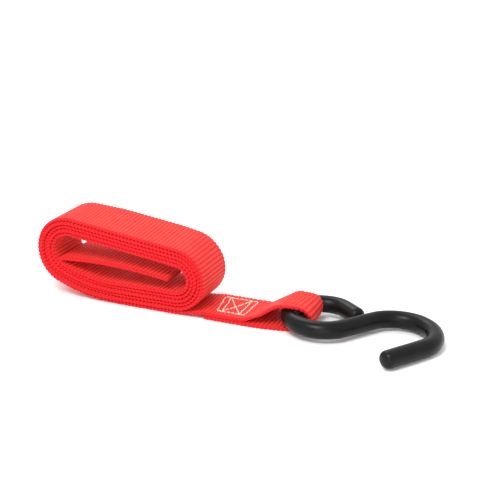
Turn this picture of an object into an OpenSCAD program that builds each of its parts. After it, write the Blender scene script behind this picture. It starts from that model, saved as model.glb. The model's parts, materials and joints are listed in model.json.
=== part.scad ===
// Hook strap of a two-piece ratchet tie-down: a length of webbing wound into a flattened
// roll, with a closed-eye S-hook sewn into the end that is left out.
// X runs along the webbing towards the hook, Y across it, Z up.
// The origin is the middle of the roll's flat underside, at half the webbing's width.

/* [Webbing] */
// Width of the webbing
web_w = 25; // [20:0.5:32]
// Thickness of the webbing
web_t = 1.5; // [1.2:0.1:2]
// Air between one turn of the roll and the next
turn_gap = 0.25; // [0.1:0.05:0.4]

/* [Roll] */
// Full turns in the roll
turns = 5; // [2:1:5]
// Length of the flat that the roll rests on
flat_l = 30.5; // [18:0.5:60]
// Outside radius of the bend at the hook's side
right_r = 16; // [14.5:0.1:20]
// Outside radius of the bend at the far side
left_r = 16.8; // [16:0.1:22]
// Outside radius of the underside where it rises from the floor
belly_r = 76; // [50:1:120]
// How far round that rise goes, in degrees
belly_turn = 22.7; // [12:0.1:30]

/* [Folded tongue] */
// How far up the far bend the webbing is folded back, in degrees
fold_at = 12; // [8:1:40]
// Radius of the fold, at the middle of the webbing
fold_r = 1.1; // [1.1:0.1:2.2]
// Slope of the tongue where it leaves the fold, in degrees
tongue_rise = 5; // [0:0.5:8]
// How much the tongue droops over its length, in degrees
tongue_droop = 15; // [8:0.5:18]
// Room between the tongue's end and the bend ahead of it
tongue_room = 8; // [4:0.5:24]

/* [Sewn end] */
// Distance from the roll's flat to the line where the sewn end can bend
exit_l = 8.5; // [6:0.5:14]
// Distance from that bend to the cut edge of the lower layer
cut_l = 6; // [4:0.5:12]
// Distance from the cut edge to the neck, where the layers part
neck_l = 21; // [18:0.5:40]
// Air between the two sewn layers
seam_gap = 0.1; // [0.05:0.05:0.2]
// Length of the stitched box
box_l = 13; // [8:0.5:15]
// Width of the stitched box
box_w = 16; // [8:0.5:18]
// Distance from the cut edge to the stitched box
box_in = 4.5; // [3:0.5:6]
// Distance from each end line of the box to the line inside it
box_inner = 2.4; // [1.5:0.1:3.5]
// Thickness of the sewing thread
thread_d = 0.6; // [0.4:0.05:0.8]

/* [Hook] */
// Diameter of the steel wire
wire_d = 6.5; // [5:0.1:8]
// Thickness of the vinyl coating
coat_t = 0.6; // [0.4:0.05:1]
// Radius of the eye, at the middle of the wire
eye_r = 14.2; // [13:0.1:18]
// Radius of the open hook, at the middle of the wire
hook_r = 16; // [13:0.1:22]
// Length of the straight shank between the eye and the open hook
shank_l = 15.7; // [8:0.1:24]
// How far the open hook turns past the line between the two middles, in degrees
tip_turn = 26.3; // [0:0.1:40]
// Length of the straight arm at the tip
tip_l = 18.5; // [8:0.5:26]
// Radius of the last bend, which closes the eye
close_r = 8; // [6:0.5:11]
// How far that last bend goes, in degrees
close_turn = 27; // [18:1:34]
// How far the eye's wire goes round before the last bend, in degrees
eye_turn = 246; // [238:0.5:256]
// Air between the closed end and the shank
close_gap = 0.4; // [0.2:0.1:1]
// Angle that the hook lies turned to the webbing, in degrees
hook_yaw = -5.7; // [-12:0.1:12]
// Sideways place of the eye's middle
eye_y = -0.8; // [-2:0.1:2]

/* [Loop] */
// Distance from the neck to the middle of the wire at the eye's far end
loop_l = 15.8; // [14:0.2:24]
// Air between the webbing loop and the wire
loop_clear = 0.45; // [0.35:0.05:0.8]
// How deep the loop reaches into the eye, from the middle of the wire
loop_reach = 12; // [9.5:0.1:13]
// Radius of the round joint between the loop and the sewn layers
joint_r = 15; // [13:0.5:18]
// Air at the joints between the webbing's stretches
joint_gap = 0.3; // [0.2:0.05:0.5]

/* [Hidden] */
$fn = 96;

pitch = web_t + turn_gap;
arc_step = 11;           // degrees between the points of a bend
belly_step = 5.4;        // degrees between the points of the underside's rise

// Middles of the roll's three arcs, as [x, z].
belly_c = [-flat_l / 2, belly_r];
left_c = belly_c - (belly_r - left_r) * [sin(belly_turn), cos(belly_turn)];
right_c = [flat_l / 2, right_r];

// Angle of the outward normal on the straight top, which touches both end bends.
span = right_c - left_c;
top_normal = atan2(span[1], span[0]) + acos((left_r - right_r) / norm(span));

// Lengths of the stretches over which a turn moves in by one pitch: all but the flat.
belly_end = -90 - belly_turn;
left_end = top_normal - 360;
len_belly = belly_r * belly_turn * PI / 180;
len_left = left_r * (belly_end - left_end) * PI / 180;
len_top = sqrt(pow(norm(span), 2) - pow(left_r - right_r, 2));
len_right = right_r * (left_end + 450) * PI / 180;
len_wind = len_belly + len_left + len_top + len_right;

// Sewn end: heights and lengths.
lead_z = web_t * 1.5 + seam_gap;              // middle of the upper layer
bend_x = flat_l / 2 + exit_l;
cut_x = bend_x + cut_l;
neck_x = cut_x + neck_l;
ramp = (lead_z - web_t / 2) / (cut_x - flat_l / 2);
bend_z = web_t / 2 + ramp * exit_l;           // the bend line's height

// Hook: outside radius of the coated wire, and the eye's place.
rod_r = wire_d / 2 + coat_t;
loop_in_r = rod_r + loop_clear;
loop_out_r = loop_in_r + web_t;
bar_z = web_t + loop_in_r;
bar_x = neck_x + loop_l;                      // middle of the wire at the eye's far end
eye_x = bar_x + eye_r;
wall_x = bar_x + loop_reach;                  // outside of the loop, inside the eye
wall_c = wall_x - loop_out_r;
pivot_in = 2.6;                               // the hook swings about a line this far in
pivot_x = bar_x + pivot_in;
inner_wall = eye_x - (wall_x - web_t);
loop_w = min(web_w, 2 * (sqrt(pow(eye_r - rod_r, 2) - pow(inner_wall, 2)) - joint_gap));

// Angle of the shank, which touches the eye and the open hook on opposite sides.
shank_a = atan(shank_l / (eye_r + hook_r));
hook_reach = norm([shank_l, eye_r + hook_r]);
eye_from = 360 - shank_a - eye_turn;
close_c = (eye_r - close_r) * [cos(eye_from), sin(eye_from)];
close_to = eye_from - close_turn;
close_p = close_c + close_r * [cos(close_to), sin(close_to)];
shank_p = eye_r * [cos(shank_a), -sin(shank_a)];
shank_dir = [sin(shank_a), cos(shank_a)];
close_dir = [sin(close_to), -cos(close_to)];
close_room = cross(shank_dir, close_p - shank_p);
close_l = (close_room - 2 * rod_r - close_gap) / -cross(shank_dir, close_dir);

// The hook rests on the webbing at its eye and on the floor at its far bend.
far_x = eye_x + hook_reach * cos(hook_yaw) + hook_r - pivot_x;
hook_tilt = asin((bar_z - rod_r) / far_x);

// Angles at which a stretch of arc has its points.
function steps(from, to, step) =
    let (n = ceil(abs(to - from) / step)) [for (i = [0 : n]) from + (to - from) * i / n];

// One turn of the roll as stations: middle, radius, angle and share of the turn so far.
function arc_stations(c, r, from, to, step, before) =
    [for (a = steps(from, to, step)) [c, r, a, (before + r * abs(a - from) * PI / 180) / len_wind]];
left_from = len_belly;
right_from = left_from + len_left + len_top;
one_turn = concat(
    arc_stations(belly_c, belly_r, -90, belly_end, belly_step, 0),
    arc_stations(left_c, left_r, belly_end, left_end, arc_step, left_from),
    arc_stations(right_c, right_r, left_end, -450, arc_step, right_from));

// A station of turn k, moved inwards to the middle of the webbing: [point, normal].
function place(s, k) =
    let (n = [cos(s[2]), sin(s[2])])
    [s[0] + (s[1] - web_t / 2 - pitch * (k + s[3])) * n, n];

// The webbing from the bend line, round all the turns, to the start of the fold.
fold_a = belly_end - fold_at;
last_turn = concat(
    arc_stations(belly_c, belly_r, -90, belly_end, belly_step, 0),
    arc_stations(left_c, left_r, belly_end, fold_a, arc_step, left_from));
ramp_n = [sin(atan(ramp)), -cos(atan(ramp))];
exit_end = [bend_x, bend_z] - (web_t / 2 + joint_gap) * [cos(atan(ramp)), sin(atan(ramp))];
roll_path = concat(
    [[exit_end, ramp_n], [[flat_l / 2, web_t / 2], [0, -1]]],
    [for (k = [0 : turns - 1]) for (s = one_turn) place(s, k)],
    [for (s = last_turn) place(s, turns)]);

// The fold and the tongue after it, both turning the same way.
fold_p = roll_path[len(roll_path) - 1];
fold_c = fold_p[0] - fold_r * fold_p[1];
hollow_end = flat_l / 2 + right_r - pitch * (turns + 1);
tongue_l = hollow_end - fold_c[0] - tongue_room;
tongue_a = -270 + tongue_rise;
tongue_r = tongue_l / (tongue_droop * PI / 180);
tongue_c = fold_c + (fold_r - tongue_r) * [cos(tongue_a), sin(tongue_a)];
function arc_path(c, r, from, to, step) =
    [for (a = steps(from, to, step)) [c + r * [cos(a), sin(a)], [cos(a), sin(a)]]];
fold_path = arc_path(fold_c, fold_r, fold_a, tongue_a, 20);
tongue_path = arc_path(tongue_c, tongue_r, tongue_a, tongue_a - tongue_droop, 3);

// Outline of webbing that follows a path of [point, normal].
function ribbon(path) = concat(
    [for (p = path) p[0] + web_t / 2 * p[1]],
    [for (i = [len(path) - 1 : -1 : 0]) path[i][0] - web_t / 2 * path[i][1]]);

// Turns a drawing in X and Z into a solid that is w wide across Y, centred on y.
module across(w, y = 0) {
    translate([0, y + w / 2, 0]) rotate([90, 0, 0]) linear_extrude(w) children();
}

module webbing_roll() {
    color("red") across(web_w) polygon(ribbon(roll_path));
}

// Fold and tongue: the strap's free end, folded back before the roll was wound.
module webbing_tongue() {
    color("red") across(web_w) polygon(ribbon(concat(fold_path, tongue_path)));
}

// The loop's inside: round the wire at the eye's far end, and round the wall in the eye.
neck_top = [neck_x, web_t + seam_gap];
to_bar = [bar_x, bar_z] - neck_top;
rise_a = atan2(to_bar[1], to_bar[0]) + asin(loop_in_r / norm(to_bar));
bar_arc = arc_path([bar_x, bar_z], loop_in_r, 90 + rise_a, 90, 8);
wall_arc = arc_path([wall_c, bar_z], loop_in_r, 90, -90, 10);
neck_n = [-sin(rise_a), cos(rise_a)];
lead_n = [-sin(rise_a / 2), cos(rise_a / 2)];
lead_start = [bend_x, bend_z];
ramp_up = [-sin(atan(ramp)), cos(atan(ramp))];
neck_station = [[neck_x, lead_z], lead_n / cos(rise_a / 2)];
upper_path = [[lead_start, ramp_up], [[cut_x, lead_z], [0, 1]], neck_station];
over_path = [for (p = concat(bar_arc, wall_arc)) [p[0] + web_t / 2 * p[1], p[1]]];
under_end = [[cut_x, web_t / 2], [0, -1]];

// Plan of the sewn end: full width, then drawn in to the width that passes the eye.
taper = 3;               // how far it is drawn in on each side of the neck, along X
module sewn_plan() {
    linear_extrude(bar_z + loop_out_r) polygon([
        [bend_x - web_t, web_w / 2], [neck_x - taper, web_w / 2],
        [neck_x + taper, eye_y + loop_w / 2], [eye_x, eye_y + loop_w / 2],
        [eye_x, eye_y - loop_w / 2], [neck_x + taper, eye_y - loop_w / 2],
        [neck_x - taper, -web_w / 2], [bend_x - web_t, -web_w / 2]]);
}

module joint_drum(r) {
    translate([pivot_x, 2 * web_w, bar_z]) rotate([90, 0, 0]) cylinder(r = r, h = 4 * web_w);
}

// Lines of the stitched box, each as [x1, y1, x2, y2] about the box's middle.
bl = box_l / 2;
bw = box_w / 2;
il = bl - box_inner;
stitch_lines = [
    [-bl, -bw, bl, -bw], [-bl, bw, bl, bw], [-bl, -bw, -bl, bw], [bl, -bw, bl, bw],
    [-il, -bw, -il, bw], [il, -bw, il, bw], [-il, -bw, il, bw], [-il, bw, il, -bw]];
box_x = cut_x + box_in + bl;
thread_sink = thread_d / 2;

// The stitched lines as flat bars, drawn wider for the groove that they lie in.
module stitch_plan(extra) {
    for (s = stitch_lines) {
        run = [s[2] - s[0], s[3] - s[1]];
        translate([box_x + s[0], s[1]]) rotate(atan2(run[1], run[0]))
            translate([-thread_d / 2 - extra, -thread_d / 2 - extra])
                square([norm(run) + thread_d + 2 * extra, thread_d + 2 * extra]);
    }
}
groove_clear = 0.05;

module webbing_lead() {
    color("red") difference() {
        intersection() {
            union() {
                across(web_w) polygon(ribbon(concat(upper_path, [over_path[0]])));
                translate([bend_x, web_w / 2, bend_z]) rotate([90, 0, 0])
                    cylinder(d = web_t, h = web_w);
            }
            sewn_plan();
        }
        joint_drum(joint_r + joint_gap);
        translate([0, 0, lead_z + web_t / 2 - thread_sink])
            linear_extrude(web_t) stitch_plan(groove_clear);
    }
}

module webbing_return() {
    color("red") difference() {
        intersection() {
            translate([cut_x, -web_w / 2, 0]) cube([pivot_x - cut_x, web_w, web_t]);
            sewn_plan();
        }
        joint_drum(joint_r + joint_gap);
        translate([0, 0, -web_t]) linear_extrude(web_t + thread_sink) stitch_plan(groove_clear);
    }
}

// The stretch that goes over the wire, down through the eye and back underneath.
module webbing_loop() {
    color("red") intersection() {
        across(loop_w, eye_y)
            polygon(ribbon(concat([neck_station], over_path, [under_end])));
        joint_drum(joint_r);
    }
}

module needle_thread() {
    color("ivory") translate([0, 0, lead_z + web_t / 2 - thread_sink])
        linear_extrude(thread_d) stitch_plan(0);
}

module bobbin_thread() {
    color("ivory") linear_extrude(thread_sink) stitch_plan(0);
}

// The S is built from bends, which keep the full section, and from pieces between them
// whose section is smaller by a hair. Those run a little way into their neighbours.
weld = 0.1;
shy = 0.02;
core_fit = 0.01;         // air between the wire and its coating

// One stretch of wire bent round c, from one angle to another.
module bent(c, r, from, to) {
    translate([c[0], c[1], 0]) rotate(from) rotate_extrude(angle = to - from)
        translate([r, 0]) children();
}

// One straight stretch of wire from p, heading towards an angle, running past its end.
module straight(p, heading, l, past) {
    translate([p[0], p[1], 0]) rotate([0, 90, heading])
        translate([0, 0, -weld]) linear_extrude(l + weld + past) children();
}

// Round end of the coating, which closes it over the cut end of the wire.
cap_l = rod_r * 0.8;
cap_round = rod_r * 0.7;
module end_cap(p, heading) {
    corner = [rod_r - cap_round, cap_l - cap_round];
    translate([p[0], p[1], 0]) rotate([0, 90, heading]) rotate_extrude()
        polygon(concat([[0, 0], [rod_r, 0]],
            [for (a = [0 : 15 : 90]) corner + cap_round * [cos(a), sin(a)]], [[0, cap_l]]));
}

hook_c = [hook_reach, 0];
tip_p = hook_c + hook_r * [cos(tip_turn), -sin(tip_turn)];
tip_heading = -90 - tip_turn;
tip_end = tip_p + tip_l * [cos(tip_heading), sin(tip_heading)];
close_heading = close_to - 90;
close_end = close_p + close_l * close_dir;

// The whole S from the tip to the closed end: children(0) is the section of the main
// bends, children(1) that of the pieces between. Its two ends run past by a length.
module s_shape(past) {
    weld_a = weld / close_r * 180 / PI;
    bent(hook_c, hook_r, -tip_turn, 180 - shank_a) children(0);
    bent([0, 0], eye_r, eye_from, 360 - shank_a) children(0);
    straight(tip_p, tip_heading, tip_l, past) children(1);
    straight(shank_p, 90 - shank_a, shank_l, weld) children(1);
    bent(close_c, close_r, close_to - weld_a, eye_from + weld_a) children(1);
    straight(close_p, close_heading, close_l, past) children(2);
}

// Lays the hook in its place: turned about the eye, then tipped about the loop's axis.
module hook_place() {
    translate([pivot_x, 0, bar_z]) rotate([0, hook_tilt, 0])
        translate([eye_x - pivot_x, eye_y, 0]) rotate(hook_yaw) children();
}

module hook_wire() {
    color("silver") hook_place() s_shape(-core_fit) {
        circle(d = wire_d);
        circle(d = wire_d - 2 * shy);
        circle(d = wire_d - 4 * shy);
    }
}

// Section of the coating, thinner by an amount on its outside and its inside.
module coat_section(less) {
    difference() {
        circle(r = rod_r - less);
        circle(r = wire_d / 2 + core_fit + less);
    }
}

module hook_coating() {
    color("black") hook_place() {
        s_shape(weld) {
            coat_section(0);
            coat_section(shy);
            coat_section(2 * shy);
        }
        end_cap(tip_end, tip_heading);
        end_cap(close_end, close_heading);
    }
}

webbing_roll();
webbing_tongue();
webbing_lead();
webbing_return();
webbing_loop();
needle_thread();
bobbin_thread();
hook_wire();
hook_coating();
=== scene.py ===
import json
import math

import bpy
import numpy as np
from mathutils import Matrix, Vector


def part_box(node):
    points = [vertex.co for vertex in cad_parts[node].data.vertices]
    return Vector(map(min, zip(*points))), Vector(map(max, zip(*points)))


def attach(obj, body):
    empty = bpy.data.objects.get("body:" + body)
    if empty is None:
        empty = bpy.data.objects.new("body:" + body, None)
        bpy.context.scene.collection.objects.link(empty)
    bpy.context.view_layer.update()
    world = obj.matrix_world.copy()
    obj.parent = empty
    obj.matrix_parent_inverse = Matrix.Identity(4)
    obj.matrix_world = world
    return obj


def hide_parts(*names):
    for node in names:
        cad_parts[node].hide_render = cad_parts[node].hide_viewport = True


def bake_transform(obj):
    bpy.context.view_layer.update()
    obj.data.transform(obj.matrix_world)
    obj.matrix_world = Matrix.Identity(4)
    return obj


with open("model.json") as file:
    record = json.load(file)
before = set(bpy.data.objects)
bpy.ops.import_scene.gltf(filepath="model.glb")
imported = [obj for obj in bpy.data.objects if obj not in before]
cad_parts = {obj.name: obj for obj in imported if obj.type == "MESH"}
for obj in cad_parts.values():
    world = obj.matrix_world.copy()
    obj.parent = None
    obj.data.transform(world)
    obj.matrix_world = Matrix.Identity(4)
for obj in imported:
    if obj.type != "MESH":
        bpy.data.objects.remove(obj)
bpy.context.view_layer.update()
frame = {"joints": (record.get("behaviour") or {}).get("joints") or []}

# Lengths are in millimetres up to the point where a mesh is made, and angles in degrees. Only
# the floor's half width and the lights' places and sizes are in metres.
MM = 0.001
rng = np.random.default_rng(7)

# Read from the frame: one of the joints, and the boxes of three stretches of webbing.
JOINT = {j["name"]: np.array(j["pos_m"]) / MM for j in frame["joints"]}
PIVOT = JOINT["hook_swing"]
ROLL_LOW, ROLL_HIGH = (np.array(corner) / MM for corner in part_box("webbing_roll"))
RETURN_LOW, RETURN_HIGH = (np.array(corner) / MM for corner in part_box("webbing_return"))
LOOP_LOW, LOOP_HIGH = (np.array(corner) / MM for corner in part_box("webbing_loop"))
LOOP_W = LOOP_HIGH[1] - LOOP_LOW[1]
WEB_W = ROLL_HIGH[1] - ROLL_LOW[1]
WEB_T = RETURN_HIGH[2] - RETURN_LOW[2]

# Roll: the same arcs as the CAD spiral.
TURNS = 5
TURN_GAP = 0.25
PITCH = WEB_T + TURN_GAP
FLAT_L = 30.5
RIGHT_R = 16
LEFT_R = 16.8
BELLY_R = 76
BELLY_TURN = 22.7
BELLY_END = -90 - BELLY_TURN
FOLD_AT = 12
FOLD_R = 1.1
TONGUE_RISE = 5
TONGUE_DROOP = 15
TONGUE_ROOM = 8

# How far each turn lies towards the back, from the sewn end, which counts as turn -1, inwards.
TURN_SHIFTS = [0.0, 0.55, -0.8, 0.35, -0.45, 0.4, -0.25, 0.2]
SEWN_TURN = -1.0
TONGUE_TURN = TURNS + 0.6

# The roll's edges wander a little. That grows from nothing, at the stitches, over SETTLE_L.
SETTLE_L = 30
SHIFT_WANDER = 0.16
WIDTH_WANDER = 0.12

# The roll's top is bowed upwards at the back, over its middle.
BOW = 1.7
BOW_FROM_Z = 18
BOW_OVER = 16
BOW_X = [-46, -22, 8, 32]
BOW_SHARE = [0, 1, 1, 0.2]

# Sewn end: the cut end, the neck and the stitched box.
CUT_X = RETURN_LOW[0]
SEAM_GAP = 0.1
LEAD_Z = 1.5 * WEB_T + SEAM_GAP
NECK_L = 21
NECK_X = CUT_X + NECK_L
BOX_IN = 4.5
BOX_L = 13
BOX_W = 16
BOX_INNER = 2.4
BOX_SLANT = 3
SEAM_X = CUT_X + BOX_IN

# Stitches: the thread, and how each stitch arches, sinks in and strays from its line.
THREAD_R = 0.24
STITCH_L = 2.2
STITCH_GAP = 0.06
STITCH_ARCH = 0.42
STITCH_SUNK = 0.3
STITCH_STRAY = 0.13
STITCH_POINTS = 9
STITCH_SIDES = 10
BOBBIN_Z = 0.32

# Hook.
WIRE_R = 3.25
COAT_T = 0.6
ROD_R = WIRE_R + COAT_T
EYE_R = 14.2
HOOK_R = 16
SHANK_L = 15.7
TIP_TURN = 26.3
TIP_L = 18.5
CLOSE_R = 8
CLOSE_TURN = 27
EYE_TURN = 246
CLOSE_GAP = 0.4
HOOK_YAW = -5.7
EYE_Y = -0.8
REACH = math.hypot(SHANK_L, EYE_R + HOOK_R)
SHANK_A = math.degrees(math.atan(SHANK_L / (EYE_R + HOOK_R)))
ROD_SIDES = 40
CAP_POINTS = 9
CAP_POWER = 2.4
COAT_UNEVEN = 0.012

# Loop. The hinge lies just past the middle of the wire.
PIVOT_PAST_BAR = 2.6
BAR_Z = PIVOT[2]
BAR_X = PIVOT[0] - PIVOT_PAST_BAR
LOOP_MID_R = LOOP_HIGH[2] - BAR_Z - WEB_T / 2
WALL_C = LOOP_HIGH[0] - LOOP_MID_R - WEB_T / 2
EYE_X = BAR_X + EYE_R
LOOP_GATHER = 0.8
LOOP_RIPPLE = 0.55
LOOP_SAG = 1.1

# How many points each way a corner is rounded over, in the loop and in the hook.
LOOP_SOFT = 9
HOOK_SOFT = 4

# Weave: one rib every RIB along the strap, and rings of the mesh a sixth of that apart.
RIB = 1.8
RINGS_PER_RIB = 6
RIB_HEIGHT = 0.13
RIB_SHARPNESS = 2.2
RIB_SLANT = 1.3
SELVEDGE_FROM = 0.86
SELVEDGE_SLANT = 1.9
EDGE_BUMP = 0.42
MELT_L = 0.9
MELT_THINNING = 0.2
YARN = 0.62
GRID = 0.3

# Floor and camera.
FLOOR_HALF = 6.0
FLOOR_Z = -0.2
CAMERA_AT = (238.34, -449.02, 207.34)
CAMERA_DOWN = 19.54
CAMERA_TURN = 23.52
CAMERA_LENS = 89.07


def unit(angle):
    """Unit vectors at angles in degrees, as rows."""
    turned = np.radians(angle)
    return np.stack([np.cos(turned), np.sin(turned)], axis=-1)


def cross(a, b):
    """The cross product of two vectors in a plane."""
    return a[0] * b[1] - a[1] * b[0]


def no_inset(share):
    """For an arc that keeps its radius."""
    return 0 * share


def arc(centre, radius, start, end, inset=no_inset):
    """Points on an arc, GRID apart, moved inwards by inset(share of the arc)."""
    count = max(2, math.ceil(radius * abs(math.radians(end - start)) / GRID))
    share = np.linspace(0, 1, count + 1)
    return centre + (radius - inset(share))[:, None] * unit(start + (end - start) * share)


def distance_along(line):
    """How far along a line each of its points is."""
    steps = np.linalg.norm(np.diff(line, axis=0), axis=1)
    return np.concatenate([[0], np.cumsum(steps)])


def resampled(line, step, length=None):
    """The same line with points step apart, and how far along it each one is."""
    along = distance_along(line)
    at = np.arange(0, (length or along[-1]) + step / 2, step)
    return np.stack([np.interp(at, along, line[:, k]) for k in range(2)], axis=1), at


def softened(line, reach):
    """The line with its corners rounded over about reach points each way, ends kept."""
    kernel = np.hanning(2 * reach + 1)
    kernel /= kernel.sum()
    before = 2 * line[0] - line[reach:0:-1]
    after = 2 * line[-1] - line[-2 : -reach - 2 : -1]
    padded = np.concatenate([before, line, after])
    return np.stack([np.convolve(padded[:, k], kernel, "valid") for k in range(2)], axis=1)


def directions(line):
    """Unit tangents along a line in a plane, and unit normals to their left."""
    tangent = np.gradient(line, axis=0)
    tangent /= np.linalg.norm(tangent, axis=1)[:, None]
    return tangent, np.stack([-tangent[:, 1], tangent[:, 0]], axis=1)


def wander(at, wavelength, seed):
    """Smooth noise between about -1 and 1 along a line."""
    finer = 1.7
    weaker = 1.6
    chosen = np.random.default_rng(seed)
    total = np.zeros(len(at))
    for octave in range(3):
        phase = chosen.uniform(0, 2 * math.pi)
        stretch = chosen.uniform(0.8, 1.25) * finer**octave
        total += np.sin(2 * math.pi * at * stretch / wavelength + phase) / weaker**octave
    return total / weaker


def roll_arcs():
    """The three arcs of one turn, as centre, radius, start and end. Also their lengths, how far
    along the turn each one starts, and the length of the whole turn."""
    belly_c = np.array([-FLAT_L / 2, BELLY_R])
    left_c = belly_c - (BELLY_R - LEFT_R) * unit(90 - BELLY_TURN)
    right_c = np.array([FLAT_L / 2, RIGHT_R])
    span = right_c - left_c
    slope = math.atan2(span[1], span[0])
    top = math.degrees(slope + math.acos((LEFT_R - RIGHT_R) / math.hypot(*span)))
    left_end = top - 360
    arcs = [
        (belly_c, BELLY_R, -90, BELLY_END),
        (left_c, LEFT_R, BELLY_END, left_end),
        (right_c, RIGHT_R, left_end, -450),
    ]
    lengths = [r * math.radians(start - end) for _, r, start, end in arcs]
    straight = math.sqrt(span @ span - (LEFT_R - RIGHT_R) ** 2)
    starts = [0, lengths[0], lengths[0] + lengths[1] + straight]
    return arcs, lengths, starts, sum(lengths) + straight


def roll_stretch(i, turn, end=None):
    """Arc i of the spiral on one turn, or only its part up to the angle end."""
    arcs, lengths, starts, whole = roll_arcs()
    centre, radius, first, last = arcs[i]
    share = 1 if end is None else (first - end) / (first - last)
    last = last if end is None else end

    def inset(t):
        return WEB_T / 2 + PITCH * (turn + (starts[i] + lengths[i] * share * t) / whole)

    return arc(centre, radius, first, last, inset)


def tongue_stretches(start, fold_a):
    """The tight fold that begins at a point, and the tongue past it."""
    fold_c = start - FOLD_R * unit(fold_a)
    tongue_a = -270 + TONGUE_RISE
    tongue_l = FLAT_L / 2 + RIGHT_R - PITCH * (TURNS + 1) - fold_c[0] - TONGUE_ROOM
    tongue_r = tongue_l / math.radians(TONGUE_DROOP)
    tongue_c = fold_c + (FOLD_R - tongue_r) * unit(tongue_a)
    fold = arc(fold_c, FOLD_R, fold_a, tongue_a)
    return [fold, arc(tongue_c, tongue_r, tongue_a, tongue_a - TONGUE_DROOP)]


def spiral_line():
    """Middle of the webbing from the stitches, through the roll, to the tongue's cut end,
    as points in X and Z, and which turn each point is on."""
    _, _, starts, whole = roll_arcs()
    parts = [np.array([[SEAM_X, LEAD_Z], [CUT_X, LEAD_Z], [FLAT_L / 2, WEB_T / 2]])]
    turns = [SEWN_TURN]
    for turn in range(TURNS):
        for i in range(3):
            parts.append(roll_stretch(i, turn))
            turns.append(turn + starts[i] / whole)
    fold_a = BELLY_END - FOLD_AT
    for i, end in ((0, None), (1, fold_a)):
        parts.append(roll_stretch(i, TURNS, end))
        turns.append(TURNS + starts[i] / whole)
    for part in tongue_stretches(parts[-1][-1], fold_a):
        parts.append(part)
        turns.append(TONGUE_TURN)
    turn_of = [np.full(len(part), turn) for part, turn in zip(parts, turns)]
    return np.concatenate(parts), np.concatenate(turn_of)


def loop_line():
    """Middle of the webbing from the stitches, over the wire, back to the lower cut end."""
    bar = np.array([BAR_X, BAR_Z])
    neck = np.array([NECK_X, LEAD_Z])
    run = bar - neck
    rise = math.degrees(math.atan2(run[1], run[0]) + math.asin(LOOP_MID_R / math.hypot(*run)))
    parts = [
        np.array([[SEAM_X, LEAD_Z], neck]),
        arc(bar, LOOP_MID_R, 90 + rise, 90),
        arc(np.array([WALL_C, BAR_Z]), LOOP_MID_R, 90, -90),
        np.array([[CUT_X, WEB_T / 2]]),
    ]
    line, _ = resampled(np.concatenate(parts), GRID)
    return softened(line, LOOP_SOFT)


# Points round the webbing's section: place across it and through it, each from -1 to 1.
FACE = np.linspace(-0.9, 0.9, 7)
EDGE = [(0.955, 0.9), (0.99, 0.55), (1.0, 0.0), (0.99, -0.55), (0.955, -0.9)]
SECTION = np.array(
    [(u, 1.0) for u in FACE]
    + EDGE
    + [(-u, -1.0) for u in FACE]
    + [(-u, -v) for u, v in EDGE]
)


def linked(name, data):
    """A new object in the scene that holds a mesh, a light or a camera."""
    thing = bpy.data.objects.new(name, data)
    bpy.context.scene.collection.objects.link(thing)
    return thing


def grid_mesh(name, rings, attributes):
    """A closed mesh from rings of points, each joined to the next, with a face at each end."""
    count, around = rings.shape[:2]
    ring, point = np.meshgrid(np.arange(count - 1), np.arange(around), indexing="ij")
    here = ring * around
    beyond = (ring + 1) * around
    after = (point + 1) % around
    quads = np.stack([here + point, beyond + point, beyond + after, here + after], axis=-1)
    faces = quads.reshape(-1, 4).tolist()
    faces.append(list(range(around)))
    faces.append(list(range(count * around - 1, (count - 1) * around - 1, -1)))
    mesh = bpy.data.meshes.new(name)
    mesh.from_pydata((rings.reshape(-1, 3) * MM).tolist(), [], faces)
    for key, values in attributes.items():
        layer = mesh.attributes.new(key, "FLOAT_VECTOR", "POINT")
        layer.data.foreach_set("vector", values.reshape(-1).astype(np.float32))
    mesh.shade_smooth()
    mesh.validate()
    return linked(name, mesh)


def half_thickness(phase, near_edge, through, melted):
    """Half the webbing's thickness: ribs that slant at its edges and fade where it is melted."""
    slanted = phase + RIB_SLANT * near_edge * through
    rib = 1 - 2 * (0.5 + 0.5 * np.cos(slanted)) ** RIB_SHARPNESS
    return (WEB_T / 2 + RIB_HEIGHT * rib * (1 - melted)) * (1 - MELT_THINNING * melted**2)


def webbing(name, line, at, shift, width, ripple=None, lean=None, rise=None):
    """Ribbed webbing that follows a line in X and Z, at distances along it. Its points are
    moved off the line by ripple through the webbing, by lean along X and by rise along Z."""
    _, normal = directions(line)
    across, through = SECTION[None, :, 0], SECTION[None, :, 1]
    phase = 2 * math.pi * at[:, None] / RIB
    near_edge = np.clip((np.abs(across) - SELVEDGE_FROM) / (1 - SELVEDGE_FROM), 0, 1)
    melted = np.clip(1 - (at[-1] - at)[:, None] / MELT_L, 0, 1)
    bump = EDGE_BUMP * (0.5 + 0.5 * np.cos(phase + SELVEDGE_SLANT * through)) * near_edge
    y = across * (width[:, None] / 2 - bump) + shift[:, None]
    off = through * half_thickness(phase, near_edge, through, melted)
    if ripple is not None:
        off = off + ripple(at[:, None], across)
    x = line[:, 0:1] + normal[:, 0:1] * off
    z = line[:, 1:2] + normal[:, 1:2] * off
    if lean is not None:
        x = x + lean(at[:, None], y)
    if rise is not None:
        z = z + rise(x, y, z)
    rings = np.stack([x, y, z], axis=-1)
    flat_y = across * WEB_W / 2 + 0 * at[:, None]
    weave = np.stack([flat_y, at[:, None] + 0 * across, through + 0 * at[:, None]], axis=-1)
    ends = np.stack([melted + 0 * across] * 3, axis=-1)
    return grid_mesh(name, rings, {"weave": weave, "melt": ends})


def bowed_top(x, y, z):
    """How much higher the roll's top lies towards its back, where the winding is loose."""
    back = np.clip(y / WEB_W + 0.5, 0, 1)
    upper = np.clip((z - BOW_FROM_Z) / BOW_OVER, 0, 1)
    middle = np.clip(np.interp(x, BOW_X, BOW_SHARE), 0, 1)
    return BOW * back * middle * upper * upper * (3 - 2 * upper)


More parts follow.
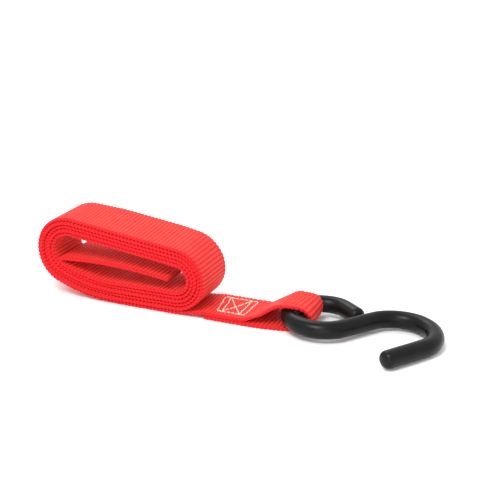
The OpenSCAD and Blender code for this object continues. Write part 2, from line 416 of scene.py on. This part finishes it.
def roll_piece():
    """The webbing from the stitches, through the roll, to the tongue's cut end, and its length."""
    line, turn_of = spiral_line()
    along = distance_along(line)
    length = RIB * round(along[-1] / RIB)
    line, at = resampled(line, RIB / RINGS_PER_RIB, min(length, along[-1]))
    turn = np.interp(at, along, turn_of)
    settled = np.clip(at / SETTLE_L, 0, 1)
    shift = np.interp(turn, np.arange(len(TURN_SHIFTS)) + SEWN_TURN, TURN_SHIFTS)
    shift = shift * settled + SHIFT_WANDER * wander(at, 70, 3) * settled
    width = WEB_W + WIDTH_WANDER * wander(at, 40, 5) * settled
    piece = webbing("strap_roll", line, at, shift, width, rise=bowed_top)
    return piece, at[-1]


def loop_piece():
    """The webbing from the stitches round the wire and back, gathered in the eye, and its
    length."""
    line, at = resampled(loop_line(), RIB / RINGS_PER_RIB)
    # Places along the loop: the neck, the far wall, and the neck again on the way back.
    neck = NECK_X - SEAM_X
    wall = at[np.argmax(line[:, 0])]
    back = at[-1] - (NECK_X - CUT_X)
    gathered = np.interp(at, [neck - 5, wall - 4, wall + 5, back], [0, 1, 1, 0])
    narrow = 0.5 - 0.5 * np.cos(math.pi * gathered)
    width = WEB_W + (LOOP_W - LOOP_GATHER - WEB_W) * narrow

    def ripple(s, across):
        bunched = np.interp(s, [neck - 4, wall - 9, wall, wall + 6], [0, 1, 0.35, 0])
        return LOOP_RIPPLE * bunched * (0.5 - 0.5 * np.cos(3 * math.pi * (across + 0.1)))

    def lean(s, y):
        places = [neck - 8, neck, wall - 9, wall, wall + 6, back]
        return (y - EYE_Y) * np.interp(s, places, [0, 0.2, 0.12, -0.1, -0.1, 0])

    def sag(x, y, z):
        span = np.clip((x - NECK_X + 4) / (BAR_X - NECK_X - 2), 0, 1)
        front = np.clip(0.5 - (y - EYE_Y) / LOOP_W, 0, 1)
        upper = np.clip((z - 4) / 3, 0, 1)
        return -LOOP_SAG * front * upper * np.sin(math.pi * span) ** 2

    piece = webbing("strap_loop", line, at, EYE_Y * narrow, width, ripple, lean, sag)
    return piece, at[-1]


def tube_rings(path, side, up, radius, around):
    """Rings of points of given radius round a path in space."""
    angle = np.linspace(0, 2 * math.pi, around, endpoint=False)[None, :, None]
    spread = side[:, None, :] * np.cos(angle) + up[:, None, :] * np.sin(angle)
    return path[:, None, :] + spread * np.broadcast_to(radius, (len(path), around))[..., None]


def hook_plan():
    """The S's middle line in its own plane, from the tip to the closed end."""
    big = arc(np.array([REACH, 0]), HOOK_R, -TIP_TURN, 180 - SHANK_A)
    tip = big[0] + TIP_L * unit(-90 - TIP_TURN)
    eye_from = 360 - SHANK_A - EYE_TURN
    eye = arc(np.zeros(2), EYE_R, 360 - SHANK_A, eye_from)
    close_c = (EYE_R - CLOSE_R) * unit(eye_from)
    close_to = eye_from - CLOSE_TURN
    bend = arc(close_c, CLOSE_R, eye_from, close_to)
    shank = unit(90 - SHANK_A)
    heading = unit(close_to - 90)
    room = cross(shank, bend[-1] - eye[0])
    close_l = (room - 2 * ROD_R - CLOSE_GAP) / -cross(shank, heading)
    end = bend[-1] + close_l * heading
    plan, _ = resampled(np.concatenate([[tip], big, eye, bend, [end]]), GRID)
    return softened(plan, HOOK_SOFT)


def placed_hook(points):
    """Takes points from the hook's own plane to where it lies."""
    far_x = EYE_X + REACH * math.cos(math.radians(HOOK_YAW)) + HOOK_R - PIVOT[0]
    tilt = math.asin((BAR_Z - ROD_R) / far_x)
    lay = (
        Matrix.Translation(PIVOT)
        @ Matrix.Rotation(tilt, 4, "Y")
        @ Matrix.Translation((EYE_X - PIVOT[0], EYE_Y, 0))
        @ Matrix.Rotation(math.radians(HOOK_YAW), 4, "Z")
    )
    placing = np.array(lay)
    return points @ placing[:3, :3].T + placing[:3, 3]


def rod_noise(at):
    """How the rod's radius wanders along it and round it."""
    angle = np.linspace(0, 2 * math.pi, ROD_SIDES, endpoint=False)[None, :]
    one_sided = 0.6 * wander(at, 31, 11)[:, None] * np.cos(angle + 0.7)
    oval = 0.5 * wander(at, 17, 12)[:, None] * np.cos(2 * angle + 0.2)
    return one_sided + oval + 0.5 * wander(at, 44, 13)[:, None]


def rod(name, radius, cap, uneven):
    """A bent rod along the S with rounded ends that reach cap past it."""
    plan = hook_plan()
    first = plan[0] - plan[1]
    last = plan[-1] - plan[-2]
    first /= np.linalg.norm(first)
    last /= np.linalg.norm(last)
    steps = cap * np.sin(np.linspace(0, math.pi / 2, CAP_POINTS))
    head = plan[0] + steps[:0:-1, None] * first
    tail = plan[-1] + steps[1:, None] * last
    line = np.concatenate([head, plan, tail])
    _, normal = directions(line)
    flat = np.zeros((len(line), 1))
    up = np.tile([0.0, 0.0, 1.0], (len(line), 1))
    past = np.zeros(len(line))
    past[: len(head)] = steps[:0:-1] / cap
    past[len(line) - len(tail) :] = steps[1:] / cap
    # The end rings keep a little width, so that the faces that close them have an area.
    taper = (1 - np.minimum(past, 0.998) ** CAP_POWER) ** (1 / CAP_POWER)
    noise = rod_noise(GRID * np.arange(len(line)))
    radii = radius * taper[:, None] * (1 + uneven * noise)
    rings = tube_rings(np.hstack([line, flat]), np.hstack([normal, flat]), up, radii, ROD_SIDES)
    return grid_mesh(name, placed_hook(rings[::-1]), {})


def stitch_lines():
    """The stitched box, its two inner lines and its cross, as pairs of points."""
    end, side, inner = BOX_L / 2, BOX_W / 2, BOX_L / 2 - BOX_INNER
    box = [(-end, -side), (end, -side), (end, side), (-end, side)]
    pairs = list(zip(box, box[1:] + box[:1]))
    pairs += [
        ((-inner, -side), (-inner, side)),
        ((inner, side), (inner, -side)),
        ((-inner, -side), (inner, side)),
        ((-inner, side), (inner, -side)),
    ]
    middle = np.array([SEAM_X + end, 0])

    def placed(x, y):
        slant = BOX_SLANT * (0.5 + y / BOX_W) * (0.5 - x / BOX_L)
        return middle + (x - slant, y)

    return [(placed(*a), placed(*b)) for a, b in pairs]


def hump(margin, power):
    """A hump over one stitch: the sine from margin to pi less margin, raised to a power."""
    return np.sin(np.linspace(margin, math.pi - margin, STITCH_POINTS)) ** power


def stitch_rings(start, run, share, height, facing):
    """One stitch along its share of a line: it rises from its hole and dips again."""
    plan = start + share[:, None] * run
    plan = plan + rng.normal(0, STITCH_STRAY, 2)
    z = height + facing * (hump(0.12, 0.6) * STITCH_ARCH - STITCH_SUNK) * rng.uniform(0.9, 1.1)
    along = np.append(run, 0) / np.linalg.norm(run)
    up = np.array([0, 0, 1.0])
    sides = np.tile(np.cross(up, along), (STITCH_POINTS, 1))
    ups = np.tile(up, (STITCH_POINTS, 1))
    radii = THREAD_R * hump(0.5, 0.5)[:, None]
    return tube_rings(np.column_stack([plan, z]), sides, ups, radii, STITCH_SIDES)


def tube_faces(base, rings, around):
    """The faces of a closed tube whose points start at number base, ring by ring."""
    faces = []
    for ring in range(rings - 1):
        here = base + ring * around
        for point in range(around):
            after = (point + 1) % around
            faces.append([here + point, here + after, here + around + after, here + around + point])
    last = base + (rings - 1) * around
    faces.append([base + point for point in range(around)][::-1])
    faces.append([last + point for point in range(around)])
    return faces


def stitches(name, height, facing):
    """All rows of stitches that lie on one face."""
    vertices, faces = [], []
    for start, end in stitch_lines():
        run = end - start
        count = max(1, round(np.linalg.norm(run) / STITCH_L))
        for k in range(count):
            share = np.linspace(k + STITCH_GAP, k + 1 - STITCH_GAP, STITCH_POINTS) / count
            rings = stitch_rings(start, run, share, height, facing)
            faces += tube_faces(len(vertices), STITCH_POINTS, STITCH_SIDES)
            vertices.extend((rings.reshape(-1, 3) * MM).tolist())
    mesh = bpy.data.meshes.new(name)
    mesh.from_pydata(vertices, [], faces)
    mesh.shade_smooth()
    return linked(name, mesh)


class Shader:
    """A material's node tree, with a few short ways to add to it."""

    def __init__(self, name, color, roughness):
        self.material = bpy.data.materials.new(name)
        self.material.use_nodes = True
        self.tree = self.material.node_tree
        self.surface = self.tree.nodes["Principled BSDF"]
        self.set("Base Color", (*color, 1))
        self.set("Roughness", roughness)

    def set(self, socket, value):
        self.surface.inputs[socket].default_value = value

    def add(self, kind, **settings):
        node = self.tree.nodes.new(kind)
        for key, value in settings.items():
            setattr(node, key, value)
        return node

    def join(self, source, target):
        self.tree.links.new(source, target)

    def feed(self, value, socket):
        """Gives a socket another node's output, or a number."""
        if isinstance(value, bpy.types.NodeSocket):
            self.join(value, socket)
        else:
            socket.default_value = value

    def math(self, operation, *values):
        node = self.add("ShaderNodeMath", operation=operation)
        for socket, value in zip(node.inputs, values):
            self.feed(value, socket)
        return node.outputs[0]

    def noise(self, vector, scale, detail=3.0):
        node = self.add("ShaderNodeTexNoise")
        node.inputs["Scale"].default_value = scale
        node.inputs["Detail"].default_value = detail
        self.join(vector, node.inputs["Vector"])
        return node.outputs["Fac"]

    def mix(self, share, a, b):
        """A mix of two colours, each another node's output or red, green and blue."""
        node = self.add("ShaderNodeMix", data_type="RGBA")
        sockets = [s for s in node.inputs if s.enabled and s.type == "RGBA"]
        self.join(share, node.inputs[0])
        for socket, value in zip(sockets, (a, b)):
            self.feed((*value, 1) if isinstance(value, tuple) else value, socket)
        return next(s for s in node.outputs if s.enabled and s.type == "RGBA")

    def bump(self, height, distance, strength=1.0):
        node = self.add("ShaderNodeBump")
        node.inputs["Strength"].default_value = strength
        node.inputs["Distance"].default_value = distance
        self.join(height, node.inputs["Height"])
        self.join(node.outputs["Normal"], self.surface.inputs["Normal"])


def selvedge_share(s, across):
    """0 on the webbing's face and 1 at its edges, from the place across it. It slants the ribs
    there and carries the painted shade of the side edges.
    """
    from_l = 0.45 * WEB_W
    over_l = 0.035 * WEB_W
    past = s.math("SUBTRACT", s.math("ABSOLUTE", across), from_l)
    past = s.math("MULTIPLY", past, 1 / over_l)
    return s.math("MINIMUM", s.math("MAXIMUM", past, 0.0), 1.0)


def groove_share(s, along, through, selvedge):
    """1 in the middle of a groove between two ribs and 0 on the ribs: where shade is painted into
    the grooves.
    """
    slant = s.math("MULTIPLY", s.math("MULTIPLY", through, selvedge), SELVEDGE_SLANT)
    phase = s.math("ADD", s.math("MULTIPLY", along, 2 * math.pi / RIB), slant)
    wave = s.math("MULTIPLY_ADD", s.math("COSINE", phase), 0.5, 0.5)
    return s.math("POWER", wave, 2.6)


def webbing_material():
    """Red woven polyester: ribs across, fine yarns along, with painted shade in the grooves and on
    the side edges, and darker at the melted ends."""
    s = Shader("red_webbing", (0.80, 0.03, 0.03), 0.62)
    s.set("Sheen Weight", 0.05)
    s.set("Sheen Roughness", 0.4)
    s.set("Sheen Tint", (1.0, 0.4, 0.35, 1))
    s.set("Specular IOR Level", 0.15)
    weave = s.add("ShaderNodeAttribute", attribute_name="weave").outputs["Vector"]
    melt = s.add("ShaderNodeAttribute", attribute_name="melt").outputs["Fac"]
    parts = s.add("ShaderNodeSeparateXYZ")
    s.join(weave, parts.inputs[0])
    across, along, through = parts.outputs
    selvedge = selvedge_share(s, across)
    groove = groove_share(s, along, through, selvedge)
    yarn = s.math("SINE", s.math("MULTIPLY", across, 2 * math.pi / YARN))
    fuzz = s.noise(weave, 3.5, 4.0)
    blotch = s.noise(weave, 0.09, 2.0)
    face = s.mix(blotch, (0.72, 0.03, 0.025), (0.86, 0.055, 0.04))
    # Painted shade: the side edges are a deeper, darker red, as sides that face away from the
    # light.
    face_with_shaded_sides = s.mix(selvedge, face, (0.74, 0.012, 0.018))
    # Painted shade: the grooves between the ribs are darkened towards a deep red.
    shaded = s.mix(s.math("MULTIPLY", groove, 0.7), face_with_shaded_sides, (0.34, 0.0, 0.006))
    seared = s.mix(s.math("MULTIPLY", melt, 0.7), shaded, (0.22, 0.004, 0.006))
    s.join(seared, s.surface.inputs["Base Color"])
    height = s.math("ADD", s.math("MULTIPLY", yarn, 0.35), s.math("MULTIPLY", fuzz, 0.9))
    s.bump(height, 0.05 * MM)
    return s.material


def thread_material():
    """Cream bonded thread, with its twist as slanting lines: bumps, with shade painted darker into
    their grooves.
    """
    s = Shader("cream_thread", (0.82, 0.74, 0.60), 0.6)
    s.set("Sheen Weight", 0.2)
    place = s.add("ShaderNodeTexCoord").outputs["Object"]
    twist = s.add("ShaderNodeTexWave", wave_type="BANDS", bands_direction="DIAGONAL")
    twist.inputs["Scale"].default_value = 900
    twist.inputs["Distortion"].default_value = 1.5
    s.join(place, twist.inputs["Vector"])
    # Painted shade: the twist's grooves, where the bumps are low, are a darker cream.
    twist_shaded = s.mix(twist.outputs["Fac"], (0.66, 0.54, 0.40), (0.86, 0.80, 0.68))
    s.join(twist_shaded, s.surface.inputs["Base Color"])
    s.bump(twist.outputs["Fac"], 0.06 * MM)
    return s.material


def vinyl_material():
    """Black dipped vinyl: satin, with a faint orange peel and handling marks."""
    s = Shader("black_vinyl", (0.005, 0.005, 0.0055), 0.4)
    s.set("Specular IOR Level", 0.15)
    place = s.add("ShaderNodeTexCoord").outputs["Object"]
    peel = s.noise(place, 900, 3.0)
    marks = s.noise(place, 120, 5.0)
    tone = s.mix(marks, (0.003, 0.003, 0.0035), (0.009, 0.009, 0.0095))
    s.join(tone, s.surface.inputs["Base Color"])
    s.join(s.math("MULTIPLY_ADD", marks, 0.14, 0.24), s.surface.inputs["Roughness"])
    s.bump(peel, 0.05 * MM, 0.5)
    return s.material


def steel_material():
    """Drawn steel wire, inside the coating."""
    s = Shader("drawn_steel", (0.5, 0.5, 0.51), 0.35)
    s.set("Metallic", 1.0)
    place = s.add("ShaderNodeTexCoord").outputs["Object"]
    s.bump(s.noise(place, 400, 4.0), 0.03 * MM)
    return s.material


def dress(piece, material, slot, *nodes):
    """Gives a piece its material and hides the CAD nodes that it stands for. The slot is not used.
    """
    piece.data.materials.clear()
    piece.data.materials.append(material)
    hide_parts(*nodes)


def build_webbing():
    red = webbing_material()
    roll, roll_l = roll_piece()
    loop, loop_l = loop_piece()
    dress(roll, red, "webbing", "webbing_roll", "webbing_tongue")
    dress(loop, red, "webbing", "webbing_lead", "webbing_return", "webbing_loop")
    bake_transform(roll)
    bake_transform(loop)


def build_threads():
    cream = thread_material()
    needle = stitches("needle_stitches", LEAD_Z + WEB_T / 2 + RIB_HEIGHT, 1)
    bobbin = stitches("bobbin_stitches", BOBBIN_Z, -1)
    dress(needle, cream, "thread", "needle_thread")
    dress(bobbin, cream, "thread", "bobbin_thread")
    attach(needle, "sewn_end")
    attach(bobbin, "sewn_end")


def build_hook():
    coating = rod("hook_vinyl", ROD_R, 0.8 * ROD_R, COAT_UNEVEN)
    core = rod("hook_core", WIRE_R, 0.15 * WIRE_R, 0.0)
    dress(coating, vinyl_material(), "vinyl", "hook_coating")
    dress(core, steel_material(), "steel", "hook_wire")
    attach(coating, "hook")
    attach(core, "hook")


def build_floor():
    """A pale floor just under the object, so that its lowest ribs stay clear of it."""
    corners = [(-1, -1), (1, -1), (1, 1), (-1, 1)]
    mesh = bpy.data.meshes.new("floor")
    points = [(x * FLOOR_HALF, y * FLOOR_HALF, FLOOR_Z * MM) for x, y in corners]
    mesh.from_pydata(points, [], [(0, 1, 2, 3)])
    floor = linked("floor", mesh)
    mesh.materials.append(Shader("pale_floor", (0.96, 0.96, 0.96), 0.9).material)


def area_light(name, place, target, size, power):
    light = bpy.data.lights.new(name, "AREA")
    light.shape = "DISK"
    light.size = size
    light.energy = power
    lamp = linked(name, light)
    lamp.location = place
    lamp.rotation_euler = (Vector(target) - Vector(place)).to_track_quat("-Z", "Y").to_euler()


def build_lights():
    middle = (0.04, 0, 0.01)
    area_light("key", (0.05, -0.42, 0.62), middle, size=0.3, power=3.5)
    area_light("fill", (0.3, -0.8, 0.2), middle, size=0.6, power=1.5)
    area_light("rim", (-0.25, 0.4, 0.6), middle, size=0.4, power=1.5)
    world = bpy.data.worlds.new("studio")
    bpy.context.scene.world = world
    world.use_nodes = True
    background = world.node_tree.nodes["Background"]
    background.inputs["Color"].default_value = (1, 1, 1, 1)
    background.inputs["Strength"].default_value = 1.0
    bpy.context.scene.view_settings.view_transform = "Standard"


def build_camera():
    data = bpy.data.cameras.new("camera")
    camera = linked("camera", data)
    data.sensor_width = 36
    data.lens = CAMERA_LENS
    data.clip_start = 0.01
    data.clip_end = 20
    camera.location = Vector(CAMERA_AT) * MM
    camera.rotation_euler = (math.radians(90 - CAMERA_DOWN), 0, math.radians(CAMERA_TURN))
    bpy.context.scene.camera = camera


build_webbing()
build_threads()
build_hook()
build_floor()
build_lights()
build_camera()
